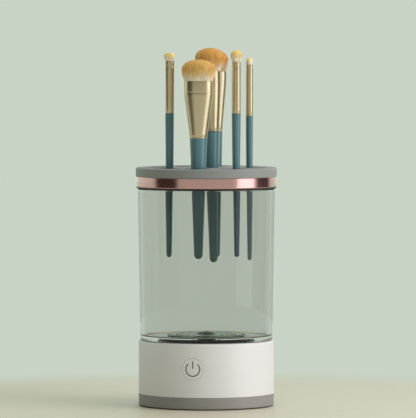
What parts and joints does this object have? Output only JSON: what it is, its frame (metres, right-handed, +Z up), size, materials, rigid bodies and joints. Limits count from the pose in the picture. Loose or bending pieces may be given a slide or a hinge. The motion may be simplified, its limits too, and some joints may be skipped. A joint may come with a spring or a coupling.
{
  "type": "electric make-up brush cleaner",
  "caption": "Electric brush cleaner: round battery base with power button, clear lift-off wash cup with a stirring disc, and a slotted silicone lid holding make-up brushes upright.",
  "frame": {"origin": "centre of the base's footprint, on the surface it stands on", "axes": "+Z up along the axis of the base, cup and lid; the power button faces -Y; +X is to its right seen from the front"},
  "size_m": [0.0938, 0.0938, 0.2385],
  "materials": {
    "white_plastic": "satin moulded",
    "grey_plastic": "matte moulded",
    "dark_plastic": "matte moulded",
    "charcoal_plastic": "matte moulded",
    "grey_silicone": "matte silicone",
    "black_rubber": "matte",
    "white_silicone": "satin silicone",
    "clear_cup": "clear moulded",
    "clear_rotor": "clear, ribbed",
    "rose_gold": "polished rose gold plating",
    "steel": "machined",
    "copper": "enamelled winding",
    "magnet": "sintered",
    "circuit_board": "solder mask",
    "chip_black": "moulded",
    "cell_blue": "shrink sleeve",
    "wire_insulation": "satin",
    "icon_black": "printed black",
    "teal_lacquer": "satin lacquer",
    "champagne_gold": "polished plating",
    "bristle": "soft synthetic filament"
  },
  "bodies": {
    "root": {"base_housing": "white_plastic", "base_cover": "grey_plastic", "foot_pads": "black_rubber", "cover_screws": "steel", "deck_plate": "charcoal_plastic", "deck_seal": "white_silicone", "deck_screws": "steel", "motor_can": "steel", "motor_magnets": "magnet", "motor_end_cap": "white_plastic", "motor_screws": "steel", "shaft_seal": "black_rubber", "battery_cell": "cell_blue", "battery_cradle": "white_plastic", "main_board": "circuit_board", "board_parts": "chip_black", "board_screws": "steel", "usb_socket": "steel", "switch_board": "circuit_board", "switch_body": "dark_plastic", "motor_leads": "wire_insulation", "battery_leads": "wire_insulation", "switch_leads": "wire_insulation"},
    "power_button": {"power_button": "white_plastic", "power_icon": "icon_black", "switch_plunger": "dark_plastic"},
    "drive": {"motor_shaft": "steel", "motor_armature": "copper", "drive_coupler": "dark_plastic"},
    "cup": {"cup": "clear_cup", "cup_bush": "dark_plastic", "cup_shaft_seal": "black_rubber"},
    "rotor": {"rotor_shaft": "steel", "driven_coupler": "charcoal_plastic", "wash_rotor": "clear_rotor", "rotor_hub": "dark_plastic", "rotor_clip": "steel"},
    "lid": {"lid_frame": "charcoal_plastic", "trim_ring": "rose_gold", "silicone_top": "grey_silicone", "lid_gasket": "black_rubber"},
    "brush_1": {"handle_1": "teal_lacquer", "ferrule_1": "champagne_gold", "bristles_1": "bristle"},
    "brush_2": {"handle_2": "teal_lacquer", "ferrule_2": "champagne_gold", "bristles_2": "bristle"},
    "brush_3": {"handle_3": "teal_lacquer", "ferrule_3": "champagne_gold", "bristles_3": "bristle"},
    "brush_4": {"handle_4": "teal_lacquer", "ferrule_4": "champagne_gold", "bristles_4": "bristle"},
    "brush_5": {"handle_5": "teal_lacquer", "ferrule_5": "champagne_gold", "bristles_5": "bristle"},
    "brush_6": {"handle_6": "teal_lacquer", "ferrule_6": "champagne_gold", "bristles_6": "bristle"}
  },
  "joints": [
    {"name": "button_press", "type": "slide", "parent": "root", "child": "power_button", "axis": [0, 1, 0], "range_m": [0, 0.0005], "stiffness_N_per_m": 800, "springref_m": -0.001},
    {"name": "drive_spin", "type": "hinge", "parent": "root", "child": "drive", "pos_m": [0, 0, 0.02], "axis": [0, 0, 1], "continuous": true},
    {"name": "cup_lift", "type": "slide", "parent": "root", "child": "cup", "axis": [0, 0, 1], "range_m": [0, 0.06]},
    {"name": "rotor_spin", "type": "hinge", "parent": "cup", "child": "rotor", "pos_m": [0, 0, 0.046], "axis": [0, 0, 1], "continuous": true},
    {"name": "lid_lift", "type": "slide", "parent": "cup", "child": "lid", "axis": [0, 0, 1], "range_m": [0, 0.04]},
    {"name": "brush_1_lift", "type": "slide", "parent": "lid", "child": "brush_1", "axis": [0, 0, 1], "range_m": [0, 0.15]},
    {"name": "brush_2_lift", "type": "slide", "parent": "lid", "child": "brush_2", "axis": [0, 0, 1], "range_m": [0, 0.15]},
    {"name": "brush_3_lift", "type": "slide", "parent": "lid", "child": "brush_3", "axis": [-0.0201, 0, 0.9998], "range_m": [0, 0.15]},
    {"name": "brush_4_lift", "type": "slide", "parent": "lid", "child": "brush_4", "axis": [0, 0, 1], "range_m": [0, 0.15]},
    {"name": "brush_5_lift", "type": "slide", "parent": "lid", "child": "brush_5", "axis": [0, 0, 1], "range_m": [0, 0.15]},
    {"name": "brush_6_lift", "type": "slide", "parent": "lid", "child": "brush_6", "axis": [0, 0, 1], "range_m": [0, 0.15]}
  ],
  "couplings": [
    {"joint": "rotor_spin", "follows": "drive_spin", "ratio": 1}
  ]
}
